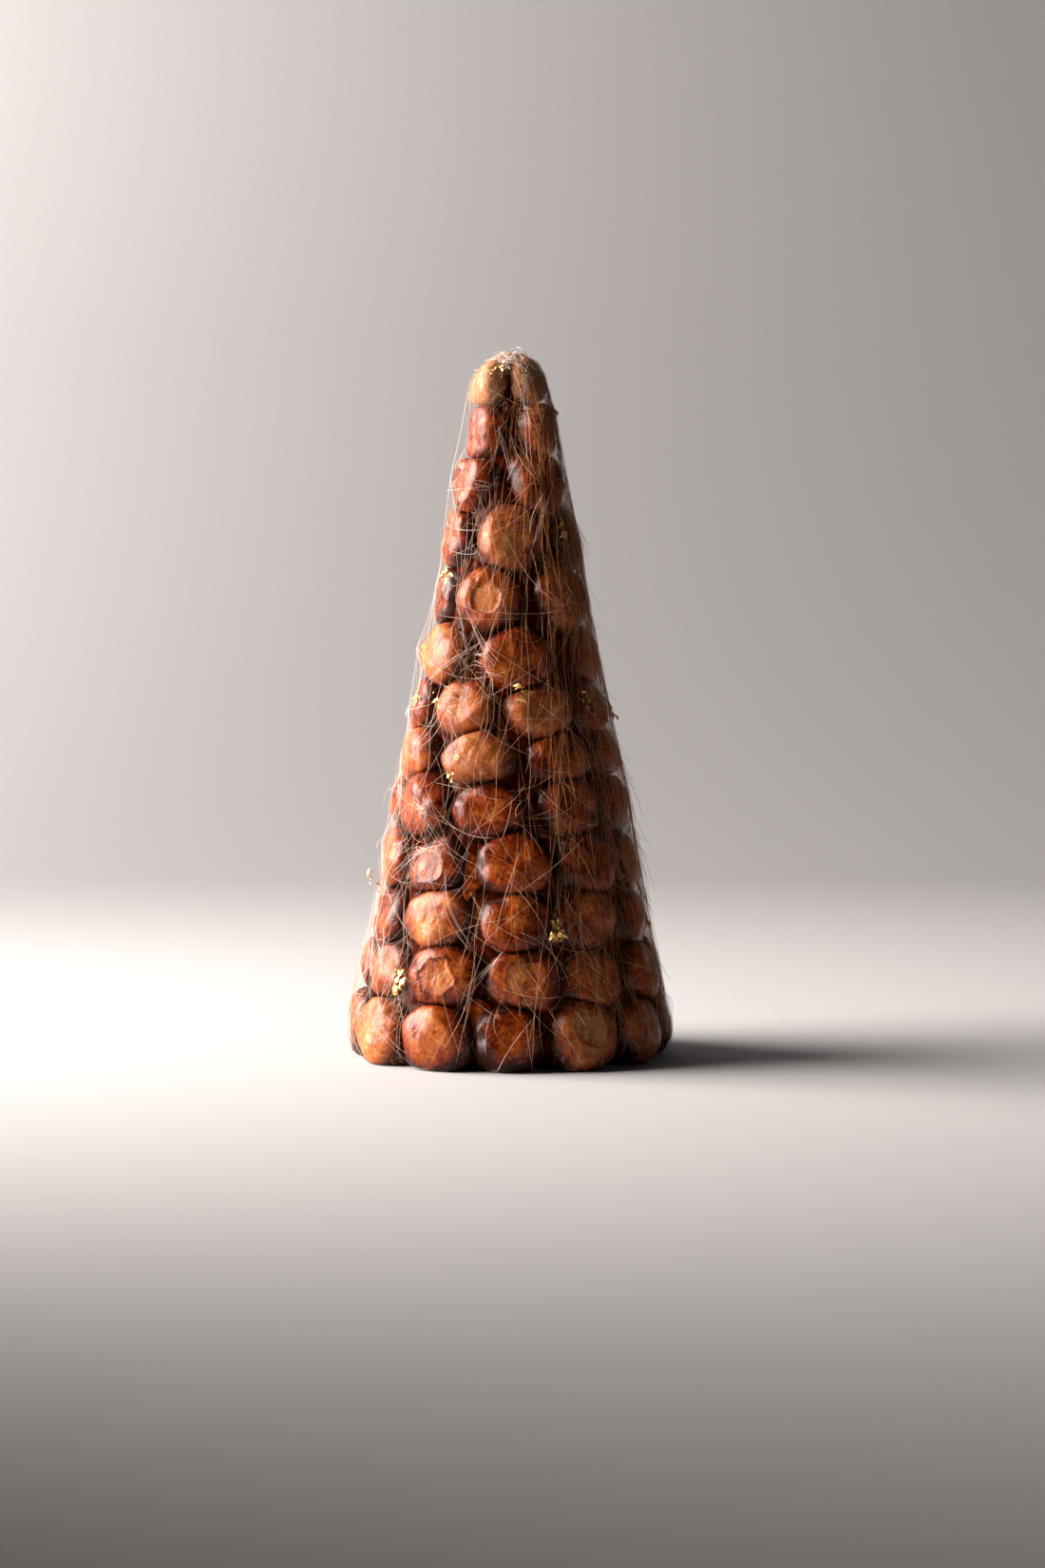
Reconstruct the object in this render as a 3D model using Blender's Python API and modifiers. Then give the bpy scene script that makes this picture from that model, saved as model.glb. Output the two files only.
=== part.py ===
"""A croquembouche: choux puffs dipped in caramel and set in courses in a tall cone mould.

Metres, +Z up, the table at z = 0 and the cone's axis on Z. The front looks along -Y. Each course of
puffs is one solid, because its puffs are fused by their caramel. The cone is solid inside.
"""

import math

import bmesh
import bpy
from mathutils import Matrix, Vector

# The mould: a plain cone, wider at the table.
FOOT_RADIUS = 0.1146
TAPER = 0.1957  # how much the radius narrows for each metre of height
WALL_LEAN = math.atan(TAPER)

# Each course, from the table up: height of its puffs' middles, how many puffs, and the turn of
# the first one from the front, in degrees towards +X.
COURSES = (
    (0.0230, 12, 1.0),
    (0.0595, 11, 5.0),
    (0.0980, 10, 1.0),
    (0.1350, 9, 2.0),
    (0.1740, 8, -10.0),
    (0.2080, 7, -18.0),
    (0.2400, 7, 20.0),
    (0.2770, 5, 7.0),
    (0.3160, 5, -18.0),
    (0.3580, 4, 3.0),
    (0.3960, 3, -70.0),
    (0.4310, 3, -58.0),
    (0.4640, 3, -62.0),
)
LAST = len(COURSES) - 1

# How the puffs fit, as shares of their room: each is wider than its share of the ring and taller
# than its course, so that neighbours press each other flat, and the mould flattens its crown.
WIDTH_FIT = 1.06
HEIGHT_FIT = 1.26
CROWN_FLAT = 0.22

# The solid middle of a course is a drum with its edges taken off, clear of the puffs above and
# below: its radius as a share of the ring's, and how far in and down the edge goes, as shares of
# a puff's width.
CORE_SHARE = 0.92
CORE_EDGE_IN = 0.48
CORE_EDGE_DOWN = 0.24
LEAST_CORE = 0.15  # of the ring's radius

# How uneven the puffs are: shares of their own size, and degrees.
SIZE_SPREAD = 0.055
PLACE_SPREAD = 0.045
TIP_SPREAD = 9.0

# The spun sugar that is heaped on the top.
TUFT_RADIUS = 0.0225
TUFT_RISE = 0.0085
TUFT_LOBES = 5
TUFT_LOBE_DEPTH = 0.09

GAP = 0.0003  # between one solid and the next
OVERSHOOT = 0.004  # how far a solid runs on before the table's plane trims it
MERGE = 1e-6
PUFF_SIDES = 8
PUFF_SWELL = 2 / (1 + math.cos(math.pi / PUFF_SIDES))  # puts its flat sides half in, half out
PUFF_RINGS = (37, 68, 115)  # degrees from the crown's pole, closest where they show
CORE_SIDES = 20
TUFT_SIDES = 12
TUFT_BANDS = 5
NEARLY_FLAT = math.radians(12)  # facets this close to one plane become one
SHARP_ANGLE = math.radians(50)


def emptied_scene():
    """Removes what the file holds, and returns one collection for the parts and one for cutters."""
    for thing in list(bpy.data.objects):
        bpy.data.objects.remove(thing, do_unlink=True)
    made = []
    for name in ("croquembouche", "cutters"):
        collection = bpy.data.collections.new(name)
        bpy.context.scene.collection.children.link(collection)
        made.append(collection)
    return made


def finish(name, colour, roughness):
    """A Principled material of one colour."""
    material = bpy.data.materials.new(name)
    material.use_nodes = True
    shader = material.node_tree.nodes["Principled BSDF"]
    shader.inputs["Base Color"].default_value = (*colour, 1.0)
    shader.inputs["Roughness"].default_value = roughness
    shader.inputs["Metallic"].default_value = 0.0
    return material


def new_object(name, body, collection, place=Matrix.Identity(4)):
    """An object at a place, whose mesh is a bmesh given in the world's axes."""
    mesh = bpy.data.meshes.new(name)
    bmesh.ops.transform(body, matrix=place.inverted(), verts=body.verts)
    body.to_mesh(mesh)
    body.free()
    thing = bpy.data.objects.new(name, mesh)
    thing.matrix_world = place
    collection.objects.link(thing)
    return thing


def with_boolean(thing, operation, others):
    """Joins the others to a thing, or cuts them from it, bakes the result and removes them."""
    for other in others:
        step = thing.modifiers.new(operation.lower(), "BOOLEAN")
        step.operation = operation
        step.solver = "EXACT"
        step.object = other
    bpy.context.view_layer.update()
    evaluated = thing.evaluated_get(bpy.context.evaluated_depsgraph_get())
    mesh = bpy.data.meshes.new_from_object(evaluated)
    thing.modifiers.clear()
    thing.data = mesh
    for other in others:
        bpy.data.objects.remove(other)


def uneven(course, place, trait):
    """A number from -1 to 1 that looks random and is always the same for a puff and a trait."""
    mixed = math.sin(course * 12.9898 + place * 78.233 + trait * 37.719) * 43758.5453
    return 2.0 * (mixed % 1.0) - 1.0


def room_below(course):
    return 2 * COURSES[0][0] if course == 0 else COURSES[course][0] - COURSES[course - 1][0]


def room_above(course):
    return room_below(course) if course == LAST else COURSES[course + 1][0] - COURSES[course][0]


def ring(course):
    """Radius of the ring of puffs' middles, and a puff's width and height. Each puff touches both
    neighbours, w = fit * 2 R sin(pi / count), and its flat crown touches the mould."""
    height, count, _ = COURSES[course]
    share = WIDTH_FIT * math.sin(math.pi / count)
    radius = (FOOT_RADIUS - TAPER * height) / (1 + (1 - CROWN_FLAT) * share)
    return radius, 2 * radius * share, HEIGHT_FIT * (room_below(course) + room_above(course)) / 2


def puff_matrices(course, grow=0.0):
    """Where each puff of a course stands. A puff's own axes are X along the ring, Y up the
    mould's wall and Z outwards through the wall. grow makes it that much bigger all round."""
    height, count, turn = COURSES[course]
    radius, width, tall = ring(course)
    made = []
    for place in range(count):
        size = [1 + SIZE_SPREAD * uneven(course, place, trait) for trait in range(3)]
        angle = math.radians(turn + 360 / count * (place + PLACE_SPREAD * uneven(course, place, 3)))
        out = Vector((math.sin(angle), -math.cos(angle), 0))
        middle = out * (radius + width * PLACE_SPREAD * uneven(course, place, 4))
        middle.z = height + tall * PLACE_SPREAD * uneven(course, place, 5)
        tip = math.radians(TIP_SPREAD) * uneven(course, place, 6)
        spin = math.pi * uneven(course, place, 7)
        half = (
            width / 2 * size[0] + grow,
            tall / 2 * size[1] + grow,
            width / 2 * size[2] + grow,
        )
        made.append(
            Matrix.Translation(middle)
            @ Matrix.Rotation(angle, 4, "Z")
            @ Matrix.Rotation(math.pi / 2 - WALL_LEAN + tip, 4, "X")
            @ Matrix.Diagonal((*half, 1))
            @ Matrix.Rotation(spin, 4, "Z")
        )
    return made


def puff_body(matrix):
    """A puff in its place: a ball whose poles point in and out, with its outer crown pressed flat
    by the mould."""
    body = bmesh.new()
    rings = []
    for fall in (math.radians(degrees) for degrees in PUFF_RINGS):
        high = math.cos(fall)
        high *= 1 - CROWN_FLAT * max(high, 0) ** 2
        turns = [math.tau * side / PUFF_SIDES for side in range(PUFF_SIDES)]
        out = PUFF_SWELL * math.sin(fall)
        rings.append([body.verts.new((out * math.cos(t), out * math.sin(t), high)) for t in turns])
    crown = body.verts.new((0, 0, 1 - CROWN_FLAT))
    back = body.verts.new((0, 0, -1))
    for side in range(PUFF_SIDES):
        past = (side + 1) % PUFF_SIDES
        body.faces.new((crown, rings[0][side], rings[0][past]))
        body.faces.new((back, rings[-1][past], rings[-1][side]))
        for outer, inner in zip(rings, rings[1:]):
            body.faces.new((outer[side], inner[side], inner[past], outer[past]))
    bmesh.ops.transform(body, matrix=matrix, verts=body.verts)
    return body


def press(body, matrix, other):
    """Flattens a puff where another one presses on it: both stop at a plane between them, which
    shares out the distance as their own sizes do, with the gap left free."""
    middle = matrix.to_translation()
    between = other.to_translation() - middle
    towards = between.normalized()
    mine, theirs = (1 / (m.to_3x3().inverted() @ towards).length for m in (matrix, other))
    contact = middle + towards * (between.length * mine / (mine + theirs) - GAP / 2)
    cut = bmesh.ops.bisect_plane(
        body,
        geom=[*body.verts, *body.edges, *body.faces],
        plane_co=contact,
        plane_no=towards,
        clear_outer=True,
    )
    rim = [piece for piece in cut["geom_cut"] if isinstance(piece, bmesh.types.BMEdge)]
    if rim:
        bmesh.ops.edgeloop_fill(body, edges=rim)


def core(name, course, parts, place):
    """The solid middle of a course: a drum turned from its profile, with chamfered edges."""
    height = COURSES[course][0]
    radius, width, _ = ring(course)
    low = height - room_below(course) / 2 + GAP / 2 if course else -OVERSHOOT
    high = height if course == LAST else height + room_above(course) / 2 - GAP / 2
    side, down = CORE_SHARE * radius, CORE_EDGE_DOWN * width
    ends = max(side - CORE_EDGE_IN * width, LEAST_CORE * radius)
    outline = ((0, high), (ends, high), (side, high - down), (side, low + down), (ends, low), (0, low))
    mesh = bpy.data.meshes.new(name)
    corners = [(x, 0, z - height) for x, z in outline]
    mesh.from_pydata(corners, [(i, i + 1) for i in range(len(corners) - 1)], [])
    thing = bpy.data.objects.new(name, mesh)
    thing.matrix_world = place
    parts.objects.link(thing)
    turn = thing.modifiers.new("turn", "SCREW")
    turn.steps = turn.render_steps = CORE_SIDES
    turn.use_merge_vertices = True
    turn.merge_threshold = MERGE
    return thing


def course_of_puffs(name, course, parts, cutters):
    """One course: its puffs, pressed by those above and below and fused with its solid middle."""
    place = Matrix.Translation((0, 0, COURSES[course][0]))
    thing = core(name, course, parts, place)
    beside = [
        matrix
        for near in (course - 1, course + 1)
        if 0 <= near <= LAST
        for matrix in puff_matrices(near)
    ]
    puffs = []
    for matrix in puff_matrices(course):
        body = puff_body(matrix)
        for other in beside:
            press(body, matrix, other)
        puffs.append(new_object("one_puff", body, cutters))
    with_boolean(thing, "UNION", puffs)
    return thing


def join_facets(thing):
    """Joins the nearly flat facets that are left where puffs cross."""
    body = bmesh.new()
    body.from_mesh(thing.data)
    bmesh.ops.dissolve_limit(body, angle_limit=NEARLY_FLAT, verts=body.verts, edges=body.edges)
    body.to_mesh(thing.data)
    body.free()


def below_table(collection):
    """A block under the table's plane, which trims the feet of the lowest puffs flat."""
    side, depth = 4 * FOOT_RADIUS, 10 * OVERSHOOT
    body = bmesh.new()
    bmesh.ops.create_cube(body, size=1.0)
    bmesh.ops.scale(body, vec=(side, side, depth), verts=body.verts)
    bmesh.ops.translate(body, vec=(0, 0, -depth / 2), verts=body.verts)
    return new_object("below_table", body, collection)


def tuft(name, parts, cutters):
    """The heap of spun sugar on the top puffs, out to its uneven outline: a flat dome whose rim
    goes in and out in lobes, hollowed below by the puffs that it lies on."""
    top = COURSES[LAST][0] + ring(LAST)[2] / 2
    body = bmesh.new()
    bmesh.ops.create_uvsphere(body, u_segments=TUFT_SIDES, v_segments=TUFT_BANDS, radius=1.0)
    for corner in body.verts:
        lobe = 1 + TUFT_LOBE_DEPTH * math.sin(TUFT_LOBES * math.atan2(corner.co.y, corner.co.x))
        corner.co.x *= TUFT_RADIUS * lobe
        corner.co.y *= TUFT_RADIUS * lobe
        corner.co.z *= TUFT_RISE * lobe
    place = Matrix.Translation((0, 0, top - TUFT_RISE / 2))
    bmesh.ops.transform(body, matrix=place, verts=body.verts)
    thing = new_object(name, body, parts, place)
    puffs = [
        new_object("one_puff", puff_body(matrix), cutters)
        for matrix in puff_matrices(LAST, grow=GAP)
    ]
    with_boolean(thing, "DIFFERENCE", puffs)
    return thing


def main():
    parts, cutters = emptied_scene()
    glazed = finish("caramel_glazed_choux", (0.36, 0.13, 0.045), 0.22)
    sugar = finish("spun_sugar", (0.80, 0.62, 0.40), 0.35)
    for course in range(len(COURSES)):
        thing = course_of_puffs(f"course_{course + 1:02d}", course, parts, cutters)
        if course == 0:
            with_boolean(thing, "DIFFERENCE", [below_table(cutters)])
        thing.data.materials.append(glazed)
    heap = tuft("spun_sugar_tuft", parts, cutters)
    heap.data.materials.append(sugar)
    for thing in parts.objects:
        join_facets(thing)
        thing.data.shade_smooth()
        thing.data.set_sharp_from_angle(angle=SHARP_ANGLE)


main()
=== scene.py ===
"""A croquembouche dressed: caramel-dipped choux in a cone, veiled in spun sugar, with gold leaf.

Metres, +Z up, the cone's axis on Z and its front along -Y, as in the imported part.
"""

import itertools
import math

import bpy
import mathutils
import numpy as np
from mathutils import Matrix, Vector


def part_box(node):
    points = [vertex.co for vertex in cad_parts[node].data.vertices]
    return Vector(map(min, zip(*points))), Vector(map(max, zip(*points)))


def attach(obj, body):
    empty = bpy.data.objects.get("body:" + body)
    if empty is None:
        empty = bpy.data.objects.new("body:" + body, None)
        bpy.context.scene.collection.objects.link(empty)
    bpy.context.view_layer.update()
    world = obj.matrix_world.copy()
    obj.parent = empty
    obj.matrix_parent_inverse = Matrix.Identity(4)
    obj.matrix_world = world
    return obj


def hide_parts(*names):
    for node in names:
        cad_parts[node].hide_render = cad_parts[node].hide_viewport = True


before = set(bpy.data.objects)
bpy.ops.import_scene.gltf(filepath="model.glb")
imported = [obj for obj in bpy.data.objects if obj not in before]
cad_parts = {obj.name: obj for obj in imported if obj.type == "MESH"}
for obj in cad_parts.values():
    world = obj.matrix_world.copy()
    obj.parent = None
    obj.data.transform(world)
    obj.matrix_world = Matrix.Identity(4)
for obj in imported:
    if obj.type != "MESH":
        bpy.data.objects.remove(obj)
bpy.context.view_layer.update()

# ---- The choux puffs ------------------------------------
# Balls of baked choux paste, dipped in hot caramel and laid crown outwards in a tall cone mould.
# The caramel sets hard and glues each puff to those that it touches. Where a puff was stood on its
# dipped crown to set, it has a flat disc with a jagged rim.

FOOT_RADIUS = 0.1146  # the mould's, at the table
TAPER = 0.1957  # how much its radius narrows for each metre of height
WALL_LEAN = math.atan(TAPER)

# The courses, from the table up: height of the puffs' middles, how many puffs, and the turn of
# the first one from the front, in degrees towards +X.
COURSES = np.array((
    (0.0230, 12, 1.0),
    (0.0595, 11, 5.0),
    (0.0980, 10, 1.0),
    (0.1350, 9, 2.0),
    (0.1740, 8, -10.0),
    (0.2080, 7, -18.0),
    (0.2400, 7, 20.0),
    (0.2770, 5, 7.0),
    (0.3160, 5, -18.0),
    (0.3580, 4, 3.0),
    (0.3960, 3, -70.0),
    (0.4310, 3, -58.0),
    (0.4640, 3, -62.0),
))
WIDTH_FIT = 1.06  # how much wider a puff is than its share of the ring, so that puffs press
HEIGHT_FIT = 1.26  # how much taller it is than the step from course to course
CROWN_FLAT = 0.22
SIZE_SPREAD = 0.055  # a share of the puff's size
PLACE_SPREAD = 0.045  # the same, for where it stands
TIP_SPREAD = 9.0  # degrees that a puff may tip in or out

PUFF_SIDES = 104
PUFF_RINGS = 60
CROWN_CROWDING = 1.4  # crowds the rings towards the crown, which shows most
PRESSED_EDGE = 0.0015  # how softly a pressed face rounds off
FULLER = (1.12, 1.10, 1.03)  # how much fuller a puff is along, up and out before it is pressed
HIGH_COURSES = 3  # this many at the top press each other less, so their puffs stay rounder
HIGH_FULLER = (1.10, 1.09, 1.05)
TOP_SQUAT = 0.79  # how tall the last three puffs are for their place, as nothing stands on them


def uneven(course, place, trait):
    """A number from -1 to 1 that looks random: 2 frac(sin(a c + b p + d t) e) - 1."""
    mixed = np.sin(course * 12.9898 + place * 78.233 + trait * 37.719) * 43758.5453
    return 2.0 * (mixed % 1.0) - 1.0


ASKEW = np.array(mathutils.Euler((0.7, 0.5, 0.9)).to_matrix())  # so that no lattice lines show


def value_noise(points, grain, seed):
    """Smooth noise from -1 to 1, with lumps about one grain across.

    Each corner of a turned cubic lattice has a random height, 2 frac(sin(k . corner + seed) e) - 1,
    and the eight corners round a point are blended with weights 3 t^2 - 2 t^3 along each axis."""
    scaled = points @ ASKEW / grain
    cell = np.floor(scaled)
    part = scaled - cell
    part = part * part * (3 - 2 * part)
    total = np.zeros(points.shape[:-1])
    for corner in itertools.product((0, 1), repeat=3):
        mixed = np.sin((cell + corner) @ np.array((127.1, 311.7, 74.7)) + seed * 19.19) * 43758.5453
        weight = np.prod(np.where(np.array(corner, bool), part, 1 - part), axis=-1)
        total += weight * (2 * (mixed % 1.0) - 1)
    return total


def ball_grid(sides, rings, crowding=1.0):
    """Angles of a ball's points: one crown pole, rings of sides, one back pole. The fall from the
    crown is pi t^crowding for t in even steps, and the turn runs from 0 to 2 pi."""
    fall = np.pi * (np.arange(1, rings + 1) / (rings + 1)) ** crowding
    turn = 2 * np.pi * np.arange(sides) / sides
    falls = np.concatenate(([0.0], np.repeat(fall, sides), [np.pi]))
    turns = np.concatenate(([0.0], np.tile(turn, rings), [0.0]))
    return falls, turns


def ball_faces(sides, rings, copies):
    """Quads between a ball's rings and triangles round its poles, for copies laid end to end."""
    side = np.arange(sides)
    past = (side + 1) % sides
    ring = 1 + sides * np.arange(rings - 1)[:, None]
    quads = np.stack((ring + side, ring + sides + side, ring + sides + past, ring + past), -1)
    last = 1 + sides * (rings - 1)
    crown = np.stack((np.zeros_like(side), 1 + side, 1 + past), -1)
    back = np.stack((np.full_like(side, last + sides), last + past, last + side), -1)
    step = (2 + sides * rings) * np.arange(copies)[:, None, None]
    return (
        (quads.reshape(1, -1, 4) + step).reshape(-1, 4),
        (np.concatenate((crown, back))[None] + step).reshape(-1, 3),
    )


def piece(name, points, quads, triangles, material, attributes=None, smooth=True):
    """A mesh object from arrays of points and faces, riding on the part's one body. Each
    attribute gives one number for each point."""
    mesh = bpy.data.meshes.new(name)
    points = points.reshape(-1, 3)
    mesh.vertices.add(len(points))
    mesh.vertices.foreach_set("co", points.ravel())
    mesh.loops.add(quads.size + triangles.size)
    mesh.loops.foreach_set("vertex_index", np.concatenate((quads.ravel(), triangles.ravel())))
    mesh.polygons.add(len(quads) + len(triangles))
    starts = np.concatenate((4 * np.arange(len(quads)), quads.size + 3 * np.arange(len(triangles))))
    mesh.polygons.foreach_set("loop_start", starts)
    mesh.polygons.foreach_set("use_smooth", np.full(len(starts), smooth))
    mesh.update(calc_edges=True)
    for label, values in (attributes or {}).items():
        layer = mesh.attributes.new(label, "FLOAT", "POINT")
        layer.data.foreach_set("value", np.ascontiguousarray(values, dtype=np.float32).ravel())
    mesh.materials.append(material)
    thing = bpy.data.objects.new(name, mesh)
    bpy.context.scene.collection.objects.link(thing)
    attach(thing, "root")
    return thing


def shade(hex_colour):
    """An sRGB hex colour as linear RGBA: ((c + 0.055) / 1.055)^2.4, or c / 12.92 when dark."""
    parts = np.array([int(hex_colour[at:at + 2], 16) / 255 for at in (1, 3, 5)])
    linear = np.where(parts <= 0.04045, parts / 12.92, ((parts + 0.055) / 1.055) ** 2.4)
    return (*linear.tolist(), 1.0)


def new_material(name):
    """An empty material with its Principled shader, wired to the output."""
    material = bpy.data.materials.new(name)
    material.use_nodes = True
    return material, material.node_tree.nodes["Principled BSDF"]


def add(material, kind, inputs=(), **settings):
    """Adds a node, with settings for its own properties, and sets or links its inputs."""
    node = material.node_tree.nodes.new(kind)
    for label, value in settings.items():
        setattr(node, label, value)
    wire(material, node, inputs)
    return node


def wire(material, node, inputs):
    """Sets each input of a node to a value, or links it where the value is another's output."""
    for label, value in dict(inputs).items():
        if isinstance(value, bpy.types.NodeSocket):
            material.node_tree.links.new(value, node.inputs[label])
        else:
            node.inputs[label].default_value = value


def course_gaps():
    """The step up to each course from the one below, and from it to the one above. The lowest
    course steps up from its own depth under the table."""
    heights = COURSES[:, 0]
    below = np.diff(heights, prepend=-heights[0])
    return below, np.append(below[1:], below[-1])


def puff_places():
    """Where every puff stands: its course, middle, three axes and three half sizes.

    Its axes are X along the ring, Y up the mould's wall and Z out through the wall. A ring's
    radius is R = mould / (1 + (1 - flat) s) with s = fit sin(pi / count), its puffs are 2 R s wide,
    and each puff's size, place and tilt are a little uneven."""
    heights, counts, turns = COURSES.T
    counts = counts.astype(int)
    share = WIDTH_FIT * np.sin(np.pi / counts)
    radius = (FOOT_RADIUS - TAPER * heights) / (1 + (1 - CROWN_FLAT) * share)
    width = 2 * radius * share
    below, above = course_gaps()
    tall = HEIGHT_FIT * (below + above) / 2
    course = np.repeat(np.arange(len(counts)), counts)
    place = np.concatenate([np.arange(count) for count in counts])
    size = [1 + SIZE_SPREAD * uneven(course, place, trait) for trait in range(3)]
    nudge = place + PLACE_SPREAD * uneven(course, place, 3)
    angle = np.radians(turns[course] + 360 / counts[course] * nudge)
    ring = radius[course] + width[course] * PLACE_SPREAD * uneven(course, place, 4)
    height = heights[course] + tall[course] * PLACE_SPREAD * uneven(course, place, 5)
    lean = np.pi / 2 - WALL_LEAN + np.radians(TIP_SPREAD) * uneven(course, place, 6)
    sin, cos, none = np.sin(angle), np.cos(angle), np.zeros_like(angle)
    middles = np.stack((ring * sin, -ring * cos, height), -1)
    along = np.stack((cos, sin, none), -1)
    up = np.stack((-np.cos(lean) * sin, np.cos(lean) * cos, np.sin(lean)), -1)
    out = np.stack((np.sin(lean) * sin, -np.sin(lean) * cos, np.cos(lean)), -1)
    axes = np.stack((along, up, out), 1)
    squat = np.where(course == len(COURSES) - 1, TOP_SQUAT, 1)
    halves = np.stack(
        (width[course] * size[0], tall[course] * size[1] * squat, width[course] * size[2]), -1
    ) / 2
    return course, place, middles, axes, halves


def reach(axes, halves, towards):
    """How far an ellipsoid's surface is from its middle in a direction d: 1 / |d / halves|."""
    return 1 / np.linalg.norm((axes @ towards) / halves, axis=-1)


def soft_over(depth, softness):
    """How much of a depth is over zero, with a rounded corner: s ln(1 + exp(d / s))."""
    return softness * np.logaddexp(0, depth / softness)


course_of, place_of, middles, axes, halves = puff_places()
falls, turns = ball_grid(PUFF_SIDES, PUFF_RINGS, CROWN_CROWDING)
PUFFS = len(course_of)

# A ball with its crown pressed flat: z becomes z (1 - flat z^2) on the outer half.
ball = np.stack((np.sin(falls) * np.cos(turns), np.sin(falls) * np.sin(turns), np.cos(falls)), -1)
ball[:, 2] *= 1 - CROWN_FLAT * np.maximum(ball[:, 2], 0) ** 2
fuller = np.where(course_of[:, None] < len(COURSES) - HIGH_COURSES, FULLER, HIGH_FULLER)
puffs = ball[None] * (halves * fuller)[:, None]

# Baked lumps, different on each puff.
LUMPS = ((0.016, 0.0024), (0.007, 0.0008), (0.0032, 0.00020))  # how wide, how far they rise
away = ball[None] / halves[:, None]
away /= np.linalg.norm(away, axis=-1, keepdims=True)
for grain, rise in LUMPS:
    lump = np.stack([value_noise(one, grain, seed) for seed, one in enumerate(puffs)])
    puffs += away * (rise * lump)[..., None]

# The flat disc of a puff that set standing on its crown: flat inside a wavy rim, with faint rings,
# and a thin jagged lip of caramel round it.
DISC_SHARE = 0.52  # of the puff's half width
DISC_TRAIT = 5302  # settles which puffs have one
DISC_RARE = 0.57  # the greater, the fewer puffs have one
DISC_PLAIN = 12  # the greater, the fewer puffs have a half-formed one
DISC_LOW = 0.97  # its height, as a share of the crown's
DISC_EDGE = 0.0005  # how softly it ends at its rim
RIM_GRAIN = 0.006
RIM_WAVE = 0.22  # how far the rim wanders, as a share of its radius
RING_PITCH = 0.0023
RING_RISE = 0.00012
CRACKLE = ((0.0045, 0.00035), (0.0018, 0.00016))  # grain and rise of the crust's relief on a disc
LIP_RISE = 0.0010
LIP_WIDTH = 0.0009
has_disc = (uneven(course_of, place_of, DISC_TRAIT) - DISC_RARE) * DISC_PLAIN
has_disc = np.clip(has_disc, 0, 1)[:, None]
out_from_crown = np.hypot(puffs[..., 0], puffs[..., 1])
rim_wave = np.stack([
    value_noise(one * (1, 1, 0), RIM_GRAIN, seed + 500) for seed, one in enumerate(puffs)
])
rim = halves[:, :1] * DISC_SHARE * (1 + RIM_WAVE * rim_wave)
inside = 1 / (1 + np.exp((out_from_crown - rim) / DISC_EDGE))
outer = falls[None] < np.pi / 2
disc_height = halves[:, 2:] * (1 - CROWN_FLAT) * DISC_LOW
faint_rings = RING_RISE * np.sin(2 * np.pi * out_from_crown / RING_PITCH)
flat = np.minimum(puffs[..., 2], disc_height + faint_rings)
near_rim = np.exp(-(((out_from_crown - rim) / LIP_WIDTH) ** 2))
lip = LIP_RISE * near_rim * (0.7 + 0.8 * rim_wave)
crackle = sum(
    rise * np.stack([value_noise(one, grain, seed + 900) for seed, one in enumerate(puffs)])
    for grain, rise in CRACKLE
)
pushed = inside * (flat - puffs[..., 2] + crackle) + np.maximum(lip, 0)
puffs[..., 2] += np.where(outer, has_disc * pushed, 0)
disc_mask = np.where(outer, has_disc * inside, 0)
lip_mask = np.where(outer, has_disc * near_rim, 0)

puffs = middles[:, None] + puffs @ axes

# Neighbours press each other flat at a plane between them that shares out their distance as their
# own sizes do, and the table presses the lowest course.
PRESS_WITHIN = 1.2  # of the distance at which two puffs would just touch
for one in range(PUFFS):
    near = (abs(course_of - course_of[one]) <= 1) & (np.arange(PUFFS) != one)
    for other in np.flatnonzero(near):
        between = middles[other] - middles[one]
        apart = np.linalg.norm(between)
        towards = between / apart
        mine = reach(axes[one], halves[one], towards)
        theirs = reach(axes[other], halves[other], towards)
        if apart < PRESS_WITHIN * (mine + theirs):
            depth = (puffs[one] - middles[one]) @ towards - apart * mine / (mine + theirs)
            puffs[one] -= soft_over(depth, PRESSED_EDGE)[:, None] * towards
puffs[..., 2] = soft_over(puffs[..., 2], PRESSED_EDGE)

# What colours the sugar: how deep a point lies under the mould's wall, how near it is to its
# puff's crown, and how long its puff was dipped. Depth and crown also paint shade: the sugar is
# painted darker deep in the gaps and on flanks turned away from the crown.
SUNK_AT_TABLE = 0.022  # the depth that counts as 1
SUNK_PER_METRE = 0.05  # how much that depth grows for each metre of height
PALE_FROM = 0.34  # the height from which flanks turn pale
PALE_OVER = 0.06  # over this rise
PALE_FLANKS = 0.8  # how much like crowns they are at the top
TOP_TONE = -0.9  # the top three were hardly dipped; other puffs go from 0 to 1
deep = SUNK_AT_TABLE + SUNK_PER_METRE * puffs[..., 2]
mould = FOOT_RADIUS - TAPER * puffs[..., 2]
sunk = np.clip((mould - np.hypot(puffs[..., 0], puffs[..., 1])) / deep, 0, 1)
crown = np.broadcast_to(np.sqrt(np.clip(np.cos(falls), 0, 1)), sunk.shape)
# So few puffs make the highest courses that their flanks show too, and are as pale as crowns.
pale = np.clip((middles[:, None, 2] - PALE_FROM) / PALE_OVER, 0, 1)
crown = crown + (1 - crown) * PALE_FLANKS * pale
tone = uneven(course_of, place_of, 8) * 0.5 + 0.5
tone[course_of == len(COURSES) - 1] = TOP_TONE
tone = np.broadcast_to(tone[:, None], sunk.shape)
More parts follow.
